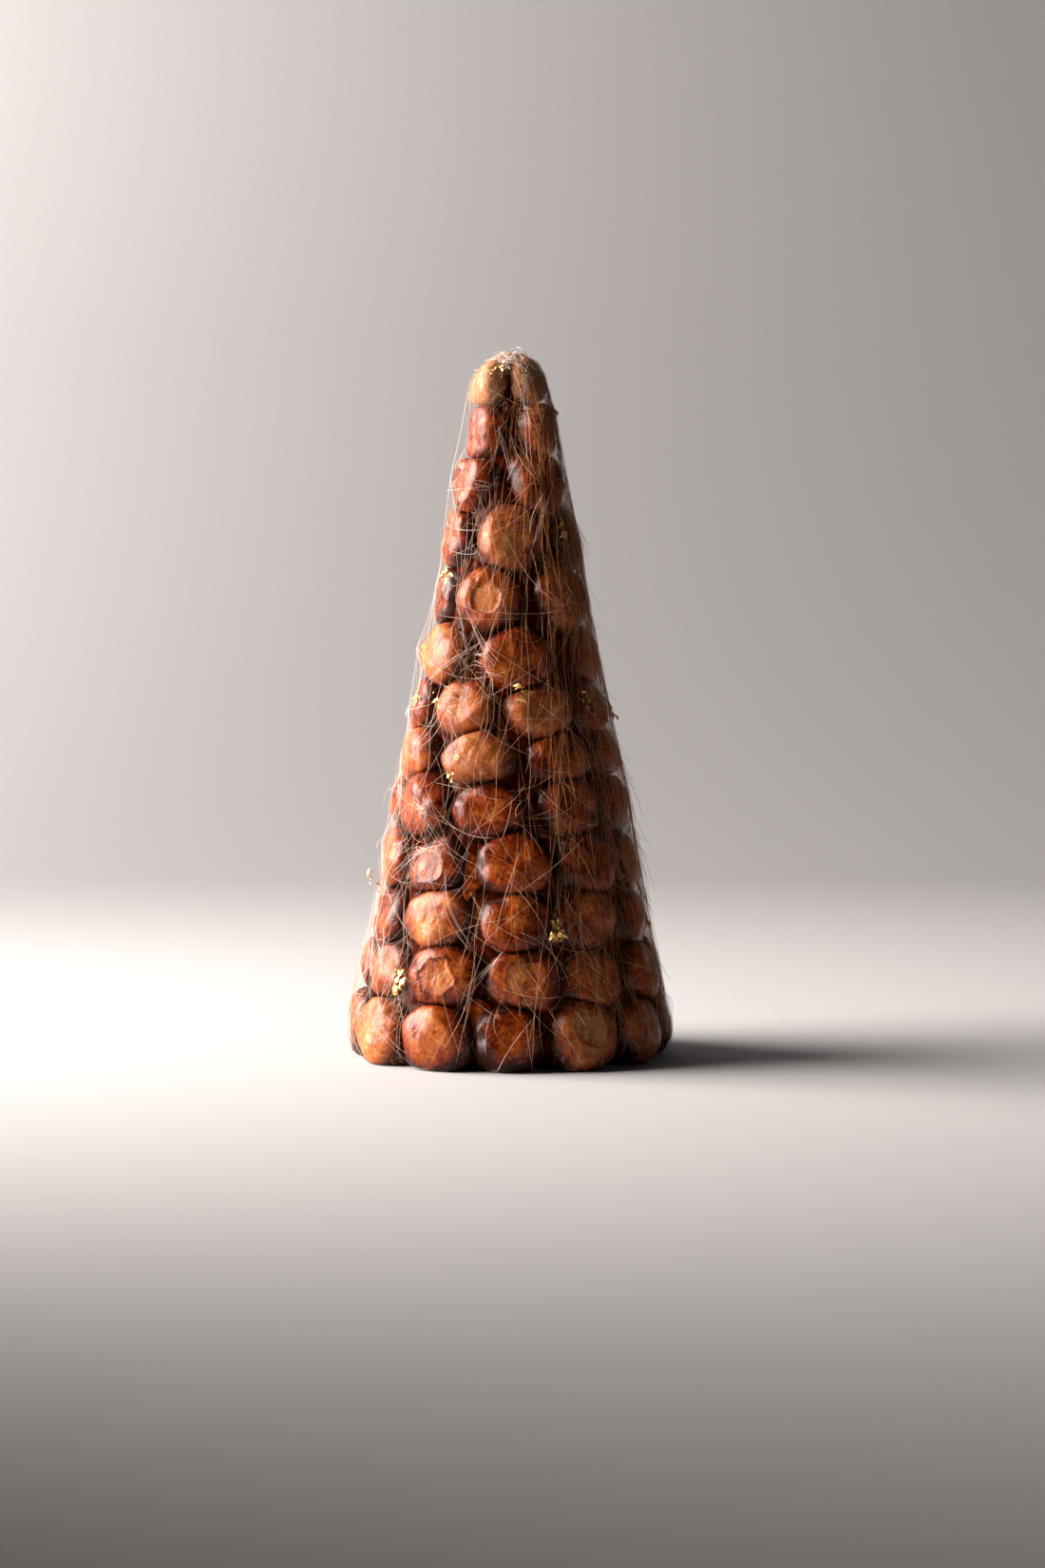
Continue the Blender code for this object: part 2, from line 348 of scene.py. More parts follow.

# Choux dipped in hard caramel: a golden crust seen through amber sugar glass, pale on the crowns
# and dark between the puffs, partly pooled sugar and partly painted shade. It has a broad soft
# gloss over matt, crazed, bare patches, with the gloss taken out deep in the gaps as painted shade.
BLOTCH_GRAIN = 0.013
RIPPLE_GRAIN = 0.0042
SPECK_GRAIN = 0.0024
# The darker steps also serve as painted shade in the gaps and on the flanks.
SUGAR_STEPS = (  # sugar glass over crust, from a thin glaze to a deep pool
    (0.0, "#E4BC96"), (0.14, "#CE9860"), (0.30, "#B26E2E"), (0.46, "#985014"),
    (0.64, "#823408"), (0.84, "#561804"), (1.0, "#260800"),
)
CRUST_STEPS = ((0.34, "#6A3414"), (0.46, "#9C6238"), (0.64, "#DAB290"))  # bare crust, browned to pale
choux, choux_shader = new_material("caramel_dipped_choux")
where = add(choux, "ShaderNodeTexCoord").outputs["Object"]
blotch = add(choux, "ShaderNodeTexNoise", {
    "Vector": where, "Scale": 1 / BLOTCH_GRAIN, "Detail": 5.0, "Roughness": 0.6,
}).outputs["Fac"]
speck = add(choux, "ShaderNodeTexNoise", {
    "Vector": where, "Scale": 1 / SPECK_GRAIN, "Detail": 5.0, "Roughness": 0.75,
}).outputs["Fac"]
ripple = add(choux, "ShaderNodeTexNoise", {
    "Vector": where, "Scale": 1 / RIPPLE_GRAIN, "Detail": 3.0, "Roughness": 0.55,
    "Distortion": 0.8,
}).outputs["Fac"]
crown_at, sunk_at, tone_at, disc_at, lip_at = (
    add(choux, "ShaderNodeAttribute", attribute_name=label).outputs["Fac"]
    for label in ("crown", "sunk", "tone", "disc", "lip")
)


def total(material, *terms, shift=0.0):
    """Adds up inputs times their weights: each term is an output and the weight it counts for."""
    for value, weight in terms:
        inputs = {0: value, 1: weight, 2: shift}
        shift = add(material, "ShaderNodeMath", inputs, operation="MULTIPLY_ADD").outputs["Value"]
    return shift


def ramp(material, value, steps):
    """A colour that runs through steps of (place, hex colour) as a value goes from 0 to 1."""
    node = add(material, "ShaderNodeValToRGB", {"Fac": value})
    marks = node.color_ramp.elements
    marks.remove(marks[1])
    for mark, (place, colour) in enumerate(steps):
        element = marks[0] if mark == 0 else marks.new(place)
        element.position = place
        element.color = shade(colour)
    return node.outputs["Color"]


# Sugar depth and painted shade in one: darker deep in the gaps and away from the crowns, paler on the
# crowns.
glaze_depth_and_shade = total(
    choux, (tone_at, 0.28), (blotch, 1.4), (speck, 1.3), (crown_at, -0.74), (sunk_at, 1.35),
    (disc_at, -0.05), (lip_at, 0.25), shift=-0.25,
)
bare = total(
    choux, (disc_at, 0.18), (crown_at, 0.15), (speck, 1.3), (ripple, 0.8), (tone_at, -0.45),
    shift=-0.50,
)
dry = add(choux, "ShaderNodeMapRange", {
    "Value": bare, "From Min": 0.55, "From Max": 1.0, "To Max": 0.65,
}).outputs["Result"]
colour = add(choux, "ShaderNodeMixRGB", {
    "Fac": dry, "Color1": ramp(choux, glaze_depth_and_shade, SUGAR_STEPS), "Color2": ramp(choux, speck, CRUST_STEPS),
}).outputs["Color"]
waves = add(choux, "ShaderNodeBump", {
    "Height": ripple, "Strength": 0.45, "Distance": 0.0010,
}).outputs["Normal"]
grain = add(choux, "ShaderNodeBump", {
    "Height": speck, "Strength": 0.6, "Distance": 0.0006, "Normal": waves,
}).outputs["Normal"]
wire(choux, choux_shader, {
    "Base Color": colour,
    "Roughness": 0.38,
    "Specular IOR Level": 0.08,
    "Specular Tint": shade("#FFB8A0"),
    "Normal": grain,
    # less gloss deep in the gaps: painted shade on the reflection
    "Coat Weight": total(choux, (dry, -0.5), (sunk_at, -0.55), shift=0.55),
    "Coat Roughness": 0.26,
    "Coat Tint": shade("#FFE0D4"),
    "Coat IOR": 1.45,
    "Coat Normal": waves,
    "Subsurface Weight": 0.35,
    "Subsurface Radius": (1.0, 0.30, 0.07),
    "Subsurface Scale": 0.006,
})

for course in range(len(COURSES)):
    mine = course_of == course
    quads, triangles = ball_faces(PUFF_SIDES, PUFF_RINGS, int(mine.sum()))
    ring_of_puffs = piece(
        f"choux_course_{course + 1:02d}", puffs[mine], quads, triangles, choux,
        {"crown": crown[mine], "sunk": sunk[mine], "tone": tone[mine], "disc": disc_mask[mine],
         "lip": lip_mask[mine]},
    )
    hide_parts(f"course_{course + 1:02d}")

# ---- The middle -----------------------------------------
# What shows between the puffs: set caramel and the shaded backs of puffs, painted near black as
# shade. It is one solid knobbly column up to about a centimetre in from the mould's wall, so no
# light comes through.

MIDDLE_SIDES = 160
MIDDLE_RINGS = 260
MIDDLE_SUNK = 0.0098  # how deep it lies under the mould's wall
MIDDLE_TOP = 0.466
MIDDLE_LEAST = 0.006  # its least radius
MIDDLE_KNOBS = 0.0035
FOOT_DRAWN_IN = 0.03  # how much slimmer it is at the table, so that it hides behind the puffs
FOOT_DRAWN_UP = 0.012  # over about this height


def column(sides, rings, top, radius_at, knobs):
    """A closed column: at height z its radius is radius_at(z) plus knobbly noise, and at its two
    ends it shuts on the axis."""
    falls, turns = ball_grid(sides, rings)
    z = top * (1 + np.cos(falls)) / 2
    radius = radius_at(z) * np.minimum(1, np.sin(falls) * 12)
    points = np.stack((radius * np.sin(turns), -radius * np.cos(turns), z), -1)
    bulge = value_noise(points, 0.011, 77) + 0.4 * value_noise(points, 0.004, 78)
    bulge = 1 + knobs * bulge / np.maximum(radius, knobs)
    return points * np.stack((bulge, bulge, np.ones_like(bulge)), -1)


def middle_radius(z):
    """The mould's radius less what the middle is sunk, and less drawn in exp(-z / drawn up)."""
    drawn_in = FOOT_DRAWN_IN * np.exp(-z / FOOT_DRAWN_UP)
    return np.maximum(FOOT_RADIUS - TAPER * z - MIDDLE_SUNK - drawn_in, MIDDLE_LEAST)


middle_points = column(MIDDLE_SIDES, MIDDLE_RINGS, MIDDLE_TOP, middle_radius, MIDDLE_KNOBS)
# Set caramel in the deep gaps: a dark red brown with hardly any gloss, painted down to near black
# as the shade in the gaps between the puffs.
CLOUD_GRAIN = 0.008
gap_caramel_in_shade, gap_caramel_in_shade_shader = new_material("set_caramel_in_painted_shade")
where = add(gap_caramel_in_shade, "ShaderNodeTexCoord").outputs["Object"]
cloud = add(gap_caramel_in_shade, "ShaderNodeTexNoise", {
    "Vector": where, "Scale": 1 / CLOUD_GRAIN, "Detail": 3.0,
}).outputs["Fac"]
wire(gap_caramel_in_shade, gap_caramel_in_shade_shader, {
    "Base Color": add(gap_caramel_in_shade, "ShaderNodeMixRGB", {
        "Fac": cloud, "Color1": shade("#0C0200"), "Color2": shade("#541602"),
    }).outputs["Color"],
    "Roughness": 0.6,
    "Specular IOR Level": 0.0,
    "Coat Weight": 0.1,
    "Coat Roughness": 0.15,
})
quads, triangles = ball_faces(MIDDLE_SIDES, MIDDLE_RINGS, 1)
piece("caramel_middle", middle_points, quads, triangles, gap_caramel_in_shade)

# ---- The caramel films ----------------------------------
# Hot caramel that ran between the puffs and down the mould's wall set there as thin amber panes
# with broken edges. They bridge the notches between puffs, a little way in from the wall.

FILM_SIDES = 28
FILM_RINGS = 14
FILM_COMMON = 0.45
FILMS_UP_TO = 0.16  # higher up, the puffs leave no room for them
FILM_RADIUS = (0.012, 0.018)
FILM_TALL = 1.25  # how much taller than wide
FILM_THICK = 0.0005
FILM_SUNK = (0.0065, 0.0100)
NOTCH = 0.45  # where the notch over a puff is, as a share of the step to the next course
FILM_RISE = (-0.6, 1.3)  # where films are, as shares of the way from their course to that notch
OFF_THE_TABLE = 0.0002
BREAKS = 6  # straight broken edges round a shard
BREAK_UNEVEN = 0.4  # how unevenly they face round it
BREAK_OFF = 0.75  # how far they are from its middle, as a share of its size
BREAK_OFF_SPREAD = 0.35
CORNER_REACH = 1.7  # its corners are blunt past this share of its size
films_random = np.random.default_rng(41)


def wall_point(turn, height, sunk):
    """A point on the mould's wall, or sunk below it: radius = foot - taper z - sunk."""
    radius = FOOT_RADIUS - TAPER * height - sunk
    return np.stack((radius * np.sin(turn), -radius * np.cos(turn), height + 0 * radius), -1)


def flakes(turn, height, sunk, across, seed, jag, wave, half_thick, sides, rings, tall=1.0):
    """Thin closed flakes on the mould's wall, one for each entry of turn, height and sunk.

    In its own plane a flake is a shard with straight broken edges, r = min d / cos(turn - break)
    over its breaks, made jagged by noise. Its face waves by noise, and it is evenly thick, half
    thickness cos(fall)^0.25, but for its edge, where front and back meet."""
    falls, turns = ball_grid(sides, rings)
    breaks = np.arange(BREAKS)[:, None]
    facing = 2 * np.pi / BREAKS * (breaks + BREAK_UNEVEN * uneven(seed, breaks, 1))
    off = BREAK_OFF + BREAK_OFF_SPREAD * uneven(seed, breaks, 2)
    edge = off[..., None] / np.maximum(np.cos(turns - facing[..., None]), 0.12)
    rim_seed = np.stack((np.cos(turns), np.sin(turns), 0 * turns), -1)[None]
    rim_seed = rim_seed + 17.3 * seed[:, None, None]
    edge = across[:, None] * np.minimum(edge.min(0), CORNER_REACH)
    edge = edge * (1 + jag * value_noise(rim_seed, 0.2, 4))
    wide = edge * np.sin(falls) * np.cos(turns)
    high = tall * edge * np.sin(falls) * np.sin(turns)
    height = height[:, None] + high * math.cos(WALL_LEAN)
    radius = FOOT_RADIUS - TAPER * height
    flat = np.stack((wide, high, 0 * wide), -1) + 3.1 * seed[:, None, None]
    relief = wave * value_noise(flat, 0.011, 9)
    half = half_thick * np.sign(np.cos(falls)) * np.abs(np.cos(falls)) ** 0.25
    dip = sunk[:, None] + relief - half
    return wall_point(turn[:, None] + wide / np.maximum(radius, 0.01), height, dip)


below, above = course_gaps()
film_turn = np.radians(COURSES[course_of, 2] + 360 / COURSES[course_of, 1] * (place_of + 0.5))
to_notch = NOTCH * above[course_of]
film_height = COURSES[course_of, 0] + to_notch * films_random.uniform(*FILM_RISE, PUFFS)
kept = films_random.random(PUFFS) < FILM_COMMON
kept &= film_height < FILMS_UP_TO
some = int(kept.sum())
films = flakes(
    film_turn[kept], film_height[kept], films_random.uniform(*FILM_SUNK, some),
    films_random.uniform(*FILM_RADIUS, some), np.arange(some) + 1.0, jag=0.10, wave=0.0009,
    half_thick=FILM_THICK / 2, sides=FILM_SIDES, rings=FILM_RINGS, tall=FILM_TALL,
)
films[..., 2] = np.maximum(films[..., 2], OFF_THE_TABLE)

# Hard caramel in a pane: amber sugar glass with a sharp gloss. No light passes it here: swirls of
# amber in dark brown stand for what shows through it, the dark brown being painted shade of the
# gap behind.
SWIRL_GRAIN = 0.006
sugar_glass, sugar_glass_shader = new_material("clear_caramel")
where = add(sugar_glass, "ShaderNodeTexCoord").outputs["Object"]
swirl = add(sugar_glass, "ShaderNodeTexNoise", {
    "Vector": where, "Scale": 1 / SWIRL_GRAIN, "Detail": 3.0,
}).outputs["Fac"]
wire(sugar_glass, sugar_glass_shader, {
    "Base Color": ramp(sugar_glass, swirl, ((0.3, "#240800"), (0.55, "#5E2208"), (0.75, "#A05818"))),
    "Roughness": 0.6,
    "Specular IOR Level": 0.0,
    "Coat Weight": 0.8,
    "Coat Roughness": 0.12,
    "Coat IOR": 1.45,
})
quads, triangles = ball_faces(FILM_SIDES, FILM_RINGS, some)
piece("caramel_films", films, quads, triangles, sugar_glass)

# ---- The spun sugar veil --------------------------------
# Threads of blond caramel, flicked hot from a fork and wound down and round the cone. They lie
# taut over the crowns and span the hollows between, thickest on the right.

SKIN_ROWS = 150
SKIN_COLUMNS = 300
SKIN_HEIGHT = 0.5  # what its rows cover
THREAD_CLEAR = 0.0003  # how far a thread's middle stays off the puffs
THREAD_NEAREST = 0.004  # no thread comes nearer to the axis than this
THREAD_REACH = 0.1135  # and none strays farther from it than this
NARROW_WALL = 0.012  # near the tip, turns are worked out as if the wall had this radius


def skin_map(points):
    """The puffs' outermost radius on a grid of heights and turns: the highest of all points that
    fall in each cell, spread one cell to every side and drawn in again, so that none is empty."""
    radius = np.hypot(points[..., 0], points[..., 1]).ravel()
    turn = (np.arctan2(points[..., 0], -points[..., 1]).ravel() / (2 * np.pi)) % 1.0
    row = (points[..., 2].ravel() / SKIN_HEIGHT * SKIN_ROWS).astype(int)
    row = np.clip(row, 0, SKIN_ROWS - 1)
    column = (turn * SKIN_COLUMNS).astype(int) % SKIN_COLUMNS
    skin = np.zeros((SKIN_ROWS, SKIN_COLUMNS))
    np.maximum.at(skin, (row, column), radius)
    for widest in (np.maximum, np.minimum):
        for axis in (0, 1):
            skin = widest(skin, widest(np.roll(skin, 1, axis), np.roll(skin, -1, axis)))
    return skin


skin = skin_map(puffs)


def skin_radius(turn, height):
    """The skin map read at turns and heights, with its cells blended in both directions."""
    row = np.clip(height / SKIN_HEIGHT * SKIN_ROWS - 0.5, 0, SKIN_ROWS - 1.001)
    column = (turn / (2 * np.pi) % 1.0) * SKIN_COLUMNS - 0.5
    row0, column0 = np.floor(row).astype(int), np.floor(column).astype(int)
    down, across = row - row0, column - column0
    left, right = column0 % SKIN_COLUMNS, (column0 + 1) % SKIN_COLUMNS
    return (
        (1 - down) * ((1 - across) * skin[row0, left] + across * skin[row0, right])
        + down * ((1 - across) * skin[row0 + 1, left] + across * skin[row0 + 1, right])
    )


def taut(turn, height, lift, tightening=40):
    """Lays threads on the puffs: each point's radius starts at the skin's, and again and again
    becomes the greater of the skin's and the mean of its neighbours', as a stretched thread's."""
    floor = np.maximum(skin_radius(turn, height), THREAD_NEAREST) + THREAD_CLEAR
    radius = floor.copy()
    for _ in range(tightening):
        mean = (radius[:, :-2] + radius[:, 2:]) / 2
        radius[:, 1:-1] = np.maximum(floor[:, 1:-1], mean)
    radius = np.minimum(radius + lift, THREAD_REACH)
    return np.stack((radius * np.sin(turn), -radius * np.cos(turn), height), -1)


def tubes(paths, half_width):
    """Three-sided tubes along paths (threads, points, 3): corners at w (cos a n + sin a b) for a =
    0, 120 and 240 degrees, with n square to the run and away from the axis, b = run x n, and w
    narrowing to a third at both ends."""
    count, length, _ = paths.shape
    run = np.gradient(paths, axis=1)
    run /= np.linalg.norm(run, axis=-1, keepdims=True) + 1e-12
    away = paths * (1, 1, 0) + np.array((1e-4, 2e-4, 3e-4))
    away -= (away * run).sum(-1, keepdims=True) * run
    away /= np.linalg.norm(away, axis=-1, keepdims=True) + 1e-12
    beside = np.cross(run, away)
    along = np.linspace(0, 1, length)
    narrow = 1 - 0.67 * np.abs(2 * along - 1) ** 6
    width = (np.reshape(half_width, (-1, 1)) * narrow)[..., None, None]
    angle = 2 * np.pi * np.arange(3) / 3
    ring = np.cos(angle)[:, None] * away[:, :, None] + np.sin(angle)[:, None] * beside[:, :, None]
    points = paths[:, :, None] + width * ring
    corner = np.arange(3)
    past = (corner + 1) % 3
    step = 3 * np.arange(length - 1)[:, None]
    quad = np.stack((step + corner, step + past, step + 3 + past, step + 3 + corner), -1)
    quad = quad.reshape(-1, 4)
    last = 3 * (length - 1)
    ends = np.array(((0, 2, 1), (last, last + 1, last + 2)))
    start = 3 * length * np.arange(count)[:, None, None]
    return points, (quad[None] + start).reshape(-1, 4), (ends[None] + start).reshape(-1, 3)


# Spun caramel: sugar glass in hairs, from amber brown to blond and nearly white, with a soft gloss.
# Real hairs are under 0.1 mm thick: these are drawn at 0.1 to 0.6 mm, so that they show.
HAIR_STEPS = ((0.0, "#96603A"), (0.4, "#B87C50"), (0.8, "#F0CEB8"), (1.0, "#FFF4EE"))
spun, spun_shader = new_material("spun_caramel")
# Its shade comes from each thread's tone, painted darker towards the right side as shade.
hair = add(spun, "ShaderNodeAttribute", attribute_name="blond").outputs["Fac"]
wire(spun, spun_shader, {
    "Base Color": ramp(spun, hair, HAIR_STEPS),
    "Roughness": 0.3,
    "IOR": 1.5,
    "Specular IOR Level": 0.15,
})


def thread_piece(name, paths, half_width, blond, right_side_shade=0.32):
    """A piece of threads, each of one width and one shade from brown (0) to white (1). The shade
    is scaled by 1 - right_side_shade (1 + x / r): painted shade, darker towards the shaded right
    side of the cone."""
    points, quads, triangles = tubes(paths, half_width)
    radius = np.maximum(np.hypot(paths[..., 0], paths[..., 1]), THREAD_NEAREST)
    rightness = paths[..., 0] / radius
    blond_with_painted_shade = np.repeat(blond[:, None] * (1 - right_side_shade * (1 + rightness)), 3, axis=1)
    return piece(name, points, quads, triangles, spun, {"blond": blond_with_painted_shade})


def turns_about(random, shape, share, middle, spread):
    """Turns all round, of which a share gathers about a middle one with a normal spread."""
    gathered = random.random(shape) < share
    about = random.normal(middle, spread, shape)
    return np.where(gathered, about, random.uniform(0, 2 * np.pi, shape))


BUNCH = 2  # threads that fell side by side
VEIL_FROM = (0.03, 0.56)  # where they start; what would be over the top starts at it
VEIL_TOP = 0.482
VEIL_FOOT = 0.003
ENDS_APART = 0.3  # how unevenly a bunch's threads start and stop, as a share of their length
LEANS_APART = 0.2  # how unevenly they lean, as a share of the lean
BENDS_APART = 0.3
SIDE_BY_SIDE = 0.0010
WANDER_PITCH = 0.06


def falling_threads(random, start_turn, points, lengths, lean, wander):
    """Threads that run down the cone, a few side by side. Each goes down its length at its own lean,
    with a slow bend and a wander: turn = start + (span (lean t + bend t (t - 1)) + sway) / r."""
    bunches = len(start_turn)
    count = bunches * BUNCH
    t = np.linspace(0, 1, points)[None]
    length = random.uniform(*lengths, bunches)
    start = np.minimum(random.uniform(*VEIL_FROM, bunches), VEIL_TOP)
    stop = np.maximum(start - length, VEIL_FOOT)
    slope, bend = random.normal(0, lean, (2, bunches))
    phase = random.uniform(0, 2 * np.pi, bunches)
    start, stop, slope, bend, phase, start_turn = (
        np.repeat(values, BUNCH)[:, None] for values in (start, stop, slope, bend, phase, start_turn)
    )
    start, stop = (
        values + random.normal(0, ENDS_APART, (count, 1)) * (start - stop) for values in (start, stop)
    )
    start, stop = (np.clip(values, VEIL_FOOT, VEIL_TOP) for values in (start, stop))
    slope = slope + random.normal(0, LEANS_APART * lean, (count, 1))
    bend = bend + random.normal(0, BENDS_APART * lean, (count, 1))
    height = start + (stop - start) * t
    span = np.abs(start - stop)
    drift = span * (slope * t + bend * t * (t - 1)) + random.normal(0, SIDE_BY_SIDE, (count, 1))
    sway = wander * random.uniform(0.3, 1, (count, 1))
    drift += sway * np.sin(2 * np.pi * t * span / WANDER_PITCH + phase)
    radius = FOOT_RADIUS - TAPER * height
    return start_turn + drift / np.maximum(radius, NARROW_WALL), height


VEIL_POINTS = 18
SHADED_SIDE = (math.radians(88), math.radians(38))  # middle and spread of the thickest part
VEILS = (  # bunches, share on the shaded side, lengths, lean, wander, half widths, tightening
    (320, 0.96, (0.05, 0.24), 0.12, 0.0018, (0.00005, 0.00013), 30),
    (120, 0.10, (0.03, 0.16), 0.38, 0.0030, (0.00007, 0.00015), 4),
    (45, 0.30, (0.05, 0.26), 0.22, 0.0026, (0.00008, 0.00014), 12),
)
for number, (bunches, share, lengths, lean, wander, half_widths, tightening) in enumerate(VEILS, 1):
    random = np.random.default_rng(100 + number)
    start_turn = turns_about(random, bunches, share, *SHADED_SIDE)
    turn, height = falling_threads(random, start_turn, VEIL_POINTS, lengths, lean, wander)
    count = bunches * BUNCH
    lift = np.minimum(random.exponential(0.0005, (count, 1)), 0.003)
    thread_piece(
        f"veil_threads_{number}", taut(turn, height, lift, tightening),
        random.uniform(*half_widths, count), random.beta(3, 2, count),
    )

# ---- The crossing threads -------------------------------
# Shorter threads of the same sugar, thrown round the cone at every angle over the veil, with a few
# white hooks where one broke and curled.


def wandering(turn, height, length, way):
    """Paths on the wall that set off from a turn and height and run their length. Each heads
    way(t) from straight down, so it goes length sin(way) across and length cos(way) down."""
    points = way.shape[1]
    across = np.cumsum(np.sin(way), 1) / points * length
    down = np.cumsum(np.cos(way), 1) / points * length
    height = np.clip(height - down, 0.002, 0.486)
    return turn + across / np.maximum(FOOT_RADIUS - TAPER * height, NARROW_WALL), height


THROWN_TOP = 0.483


def thrown(random, count, points, lengths, spread, curl):
    """Threads thrown anywhere on the cone. Their heading starts near straight down, give or take
    the spread, and curls steadily. Their height, top (1 - sqrt(1 - u)) for an even u, spreads them
    evenly over the cone's wall."""
    t = np.linspace(0, 1, points)[None]
    height = THROWN_TOP * (1 - np.sqrt(1 - random.uniform(0.02, 0.97, (count, 1))))
    way = random.normal(0, spread, (count, 1)) + random.normal(0, curl, (count, 1)) * t
    length = random.uniform(*lengths, (count, 1))
    return wandering(random.uniform(0, 2 * np.pi, (count, 1)), height + length / 2, length, way)


CROSSING_THREADS = 720
CROSSING_POINTS = 16
random = np.random.default_rng(202)
turn, height = thrown(
    random, CROSSING_THREADS, CROSSING_POINTS, lengths=(0.015, 0.09), spread=math.radians(42), curl=0.9,
)
lift = np.minimum(random.exponential(0.0013, (CROSSING_THREADS, 1)), 0.005)
thread_piece(
    "crossing_threads", taut(turn, height, lift, tightening=12),
    random.uniform(0.00006, 0.00017, CROSSING_THREADS), random.beta(3.0, 1.0, CROSSING_THREADS),
    right_side_shade=0.20,
)

HOOKS = 45
HOOK_POINTS = 14
turn, height = thrown(
    random, HOOKS, HOOK_POINTS, lengths=(0.007, 0.020), spread=math.radians(90), curl=2.0,
)
lift = random.uniform(0.001, 0.004, (HOOKS, 1)) + 0.002 * np.linspace(0, 1, HOOK_POINTS)[None]
thread_piece(
    "thread_hooks", taut(turn, height, lift, tightening=8),
    random.uniform(0.00010, 0.00020, HOOKS), random.uniform(0.7, 1.1, HOOKS), right_side_shade=0.25,
)

# ---- The strands ----------------------------------------
# Several threads that fell together make a thicker whitish strand, from the tip or across a
# hollow between puffs.

STRANDS = (  # turn in degrees and height where it starts, and where it ends
    (28, 0.477, 21, 0.409), (0, 0.454, -3, 0.436), (8, 0.470, 30, 0.446), (-8, 0.462, -38, 0.440),
    (-20, 0.440, 2, 0.402), (3, 0.412, -28, 0.378), (44, 0.395, 20, 0.352), (-34, 0.310, -2, 0.268),
    (-60, 0.262, -22, 0.288), (-60, 0.214, -38, 0.250), (-62, 0.132, -34, 0.156),
    (-48, 0.190, -28, 0.148), (-30, 0.142, -22, 0.096), (-36, 0.118, -30, 0.062),
    (-4, 0.078, -16, 0.052), (120, 0.400, 98, 0.330), (150, 0.290, 175, 0.240),
    (-100, 0.300, -130, 0.250), (-160, 0.190, -140, 0.140), (110, 0.180, 130, 0.120),
    (-95, 0.120, -110, 0.070),
)
STRAND_THREADS = 3
STRAND_POINTS = 16
STRAND_BOW = 0.22  # how far a strand bows to the side, as a share of its length
THREAD_BOW = 0.20  # and how far each of its threads bows besides
STRAND_FAN = 0.0018  # how far a strand's threads have spread by its end
STRAND_APART = 0.0013  # how far apart they start
random = np.random.default_rng(606)
strands = np.repeat(np.array(STRANDS), STRAND_THREADS, axis=0)
some = len(strands)
t = np.linspace(0, 1, STRAND_POINTS)[None]
# Each thread starts and stops at its own places along its strand.
along = random.normal(0, 0.15, (some, 1)) + random.uniform(0.6, 1.2, (some, 1)) * t
bow = np.repeat(random.normal(0, STRAND_BOW, (len(STRANDS), 1)), STRAND_THREADS, axis=0)
bow = bow + random.normal(0, THREAD_BOW, (some, 1))
from_turn, from_height, to_turn, to_height = (values[:, None] for values in strands.T)
spread = np.maximum(along, 0) ** 1.5
fan = random.normal(0, STRAND_FAN, (2, some, 1)) * spread
aside, down = fan + random.normal(0, STRAND_APART, (2, some, 1))
height = from_height + (to_height - from_height) * along
across = np.radians(to_turn - from_turn) * (FOOT_RADIUS - TAPER * height)
height = np.clip(height + down + bow * across * along * (1 - along), 0.002, 0.484)
wide = np.maximum(FOOT_RADIUS - TAPER * height, NARROW_WALL)
turn = np.radians(from_turn + (to_turn - from_turn) * along)
turn += (aside + bow * (from_height - to_height) * along * (1 - along)) / wide
thread_piece(
    "thread_strands", taut(turn, height, random.uniform(0.0003, 0.0016, (some, 1)), tightening=14),
    random.uniform(0.00008, 0.00018, some), random.uniform(0.9, 1.3, some), right_side_shade=0.12,
)

# ---- The knots ------------------------------------------
# Where several threads met while still soft they fused in a knot, with white hairs all round it.

KNOTS = (  # turn from the front in degrees, height
    (41, 0.315), (-30, 0.279), (-16, 0.270), (-41, 0.173), (-41, 0.147), (-41, 0.247), (-77, 0.242),
    (-62, 0.070), (100, 0.250), (140, 0.120),
    (165, 0.300), (-150, 0.200), (-120, 0.110), (-110, 0.330), (185, 0.070), (-20, 0.395), (70, 0.395),
)
KNOT_ARMS = 9  # threads leave a knot in a few arms
ARM_THREADS = 2
ARM_LENGTHS = (0.007, 0.026)
ARM_CURL = 1.0
ARM_SPREAD = 0.35  # how far apart an arm's threads set off, in radians
KNOT_ACROSS = 0.012  # how unevenly they leave the knot, in radians round the cone
KNOT_HIGH = 0.0011  # and up and down
KNOT_POINTS = 12
random = np.random.default_rng(303)
arms = np.repeat(np.array(KNOTS), KNOT_ARMS, axis=0)
arm_way = random.uniform(0, 2 * np.pi, (len(arms), 1))
arm_curl = random.normal(0, ARM_CURL, (len(arms), 1))
arm_length = random.uniform(*ARM_LENGTHS, (len(arms), 1))
knots, arm_way, arm_curl, arm_length = (
    np.repeat(values, ARM_THREADS, axis=0) for values in (arms, arm_way, arm_curl, arm_length)
)
some = len(knots)
t = np.linspace(0, 1, KNOT_POINTS)[None]
way = arm_way + random.normal(0, ARM_SPREAD, (some, 1))
way = way + (arm_curl + random.normal(0, 0.7, (some, 1))) * t
from_turn = np.radians(knots[:, :1]) + random.normal(0, KNOT_ACROSS, (some, 1))
from_height = knots[:, 1:] + random.normal(0, KNOT_HIGH, (some, 1))
turn, height = wandering(
    from_turn, from_height, arm_length * random.uniform(0.4, 1.1, (some, 1)), way,
)
lift = random.uniform(0.0005, 0.0022, (some, 1)) + 0.0006 * t
thread_piece(
    "knot_threads", taut(turn, height, lift, tightening=12),
    random.uniform(0.00009, 0.00021, some), random.beta(5, 1, some), right_side_shade=0.2,
)

# ---- The stray ends -------------------------------------
# Broken ends of the veil, of the same sugar, that stand off the cone into the air. Half of them are
# on its shaded side, and more of them are low than high.

